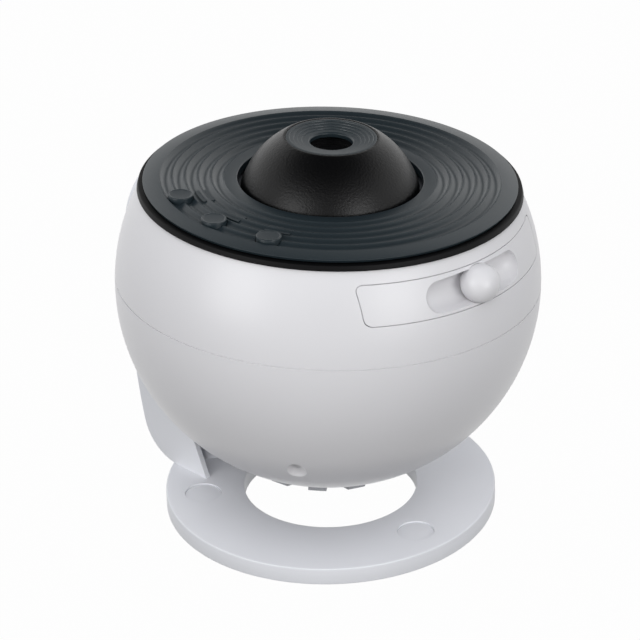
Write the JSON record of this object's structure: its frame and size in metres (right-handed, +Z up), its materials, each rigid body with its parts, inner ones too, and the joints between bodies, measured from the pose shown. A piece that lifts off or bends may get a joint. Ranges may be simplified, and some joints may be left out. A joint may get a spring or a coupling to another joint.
{
  "type": "planetarium projector",
  "caption": "Ball-shaped home planetarium projector that tilts on a ring stand with one arm, with a grooved top plate, a lens cone, push buttons and a sliding disc tray.",
  "frame": {"origin": "on the table top, under the middle of the whole object", "axes": "+Z up, +X towards the disc tray and its knob, -X towards the arm and its pivot, -Y towards the buttons"},
  "size_m": [0.1646, 0.15, 0.1463],
  "materials": {
    "case_white": "satin",
    "plate_grey": "satin",
    "cone_black": "fine grain",
    "stand_grey": "satin",
    "moulded_grey": "plain",
    "steel": "satin",
    "brass": "satin",
    "lens_glass": "clear",
    "board_green": "solder mask",
    "rubber_black": "plain",
    "aluminium": "plain",
    "film": "clear coated",
    "gear_white": "plain"
  },
  "bodies": {
    "stand": {"stand_ring": "stand_grey", "ring_plugs": "stand_grey", "rubber_feet": "rubber_black", "stand_arm": "stand_grey", "arm_screws": "steel", "pivot_pin": "steel", "friction_washer": "rubber_black", "pivot_nut": "brass", "pivot_cap": "stand_grey"},
    "button_left_body": {"button_left": "plate_grey"},
    "button_middle_body": {"button_middle": "plate_grey"},
    "button_right_body": {"button_right": "plate_grey"},
    "focus": {"focus_cone": "cone_black", "lens_bezel": "plate_grey"},
    "lens_cell": {"lens_barrel": "cone_black", "front_lens": "lens_glass", "lens_spacer": "cone_black", "rear_lens": "lens_glass", "barrel_ring": "cone_black"},
    "tray": {"disc_tray": "cone_black", "tray_door": "case_white", "tray_knob": "case_white"},
    "disc": {"disc_carrier": "gear_white", "star_disc": "film"},
    "pinion": {"motor_shaft": "steel", "motor_pinion": "brass"},
    "ball": {"pivot_hub": "moulded_grey", "lower_shell": "case_white", "vent_cap": "stand_grey", "vent_cap_screws": "steel", "upper_shell": "case_white", "case_screws": "steel", "trim_ring": "cone_black", "top_plate": "plate_grey", "button_board": "board_green", "button_switches": "cone_black", "focus_sleeve": "moulded_grey", "sleeve_screws": "steel", "chassis": "moulded_grey", "tray_guide": "moulded_grey", "guide_screws": "steel", "drive_motor": "steel", "condenser_housing": "cone_black", "condenser_lens": "lens_glass", "condenser_ring": "cone_black", "lamp_housing": "aluminium", "lamp_screws": "steel", "led_board": "board_green", "led_lamp": "gear_white", "heat_sink": "aluminium", "main_board": "board_green", "board_screws": "steel", "dc_inlet": "cone_black"}
  },
  "joints": [
    {"name": "tilt", "type": "hinge", "parent": "stand", "child": "ball", "pos_m": [0.00421, 0, 0.0911], "axis": [1, 0, 0], "range_deg": [-41.3, 48.7]},
    {"name": "tray_slide", "type": "slide", "parent": "ball", "child": "tray", "axis": [1, 0, 0], "range_m": [0, 0.098]},
    {"name": "disc_spin", "type": "hinge", "parent": "tray", "child": "disc", "pos_m": [0.00421, 0.00129, 0.11106], "axis": [0, 0.0645, 0.9979], "continuous": true},
    {"name": "pinion_spin", "type": "hinge", "parent": "ball", "child": "pinion", "pos_m": [-0.03629, 0.00129, 0.11106], "axis": [0, 0.0645, 0.9979], "continuous": true},
    {"name": "focus_turn", "type": "hinge", "parent": "ball", "child": "focus", "pos_m": [0.00421, 0.00258, 0.13102], "axis": [0, 0.0645, 0.9979], "range_deg": [-60, 60]},
    {"name": "lens_slide", "type": "slide", "parent": "ball", "child": "lens_cell", "axis": [0, 0.0645, 0.9979], "range_m": [-0.0021, 0.0021]},
    {"name": "press_left", "type": "slide", "parent": "ball", "child": "button_left_body", "axis": [0, -0.0645, -0.9979], "range_m": [0, 0.0008], "stiffness_N_per_m": 1500},
    {"name": "press_middle", "type": "slide", "parent": "ball", "child": "button_middle_body", "axis": [0, -0.0645, -0.9979], "range_m": [0, 0.0008], "stiffness_N_per_m": 1500},
    {"name": "press_right", "type": "slide", "parent": "ball", "child": "button_right_body", "axis": [0, -0.0645, -0.9979], "range_m": [0, 0.0008], "stiffness_N_per_m": 1500}
  ],
  "couplings": [
    {"joint": "pinion_spin", "follows": "disc_spin", "ratio": -8},
    {"joint": "lens_slide", "follows": "focus_turn", "m_per_rad": 0.0019099}
  ]
}
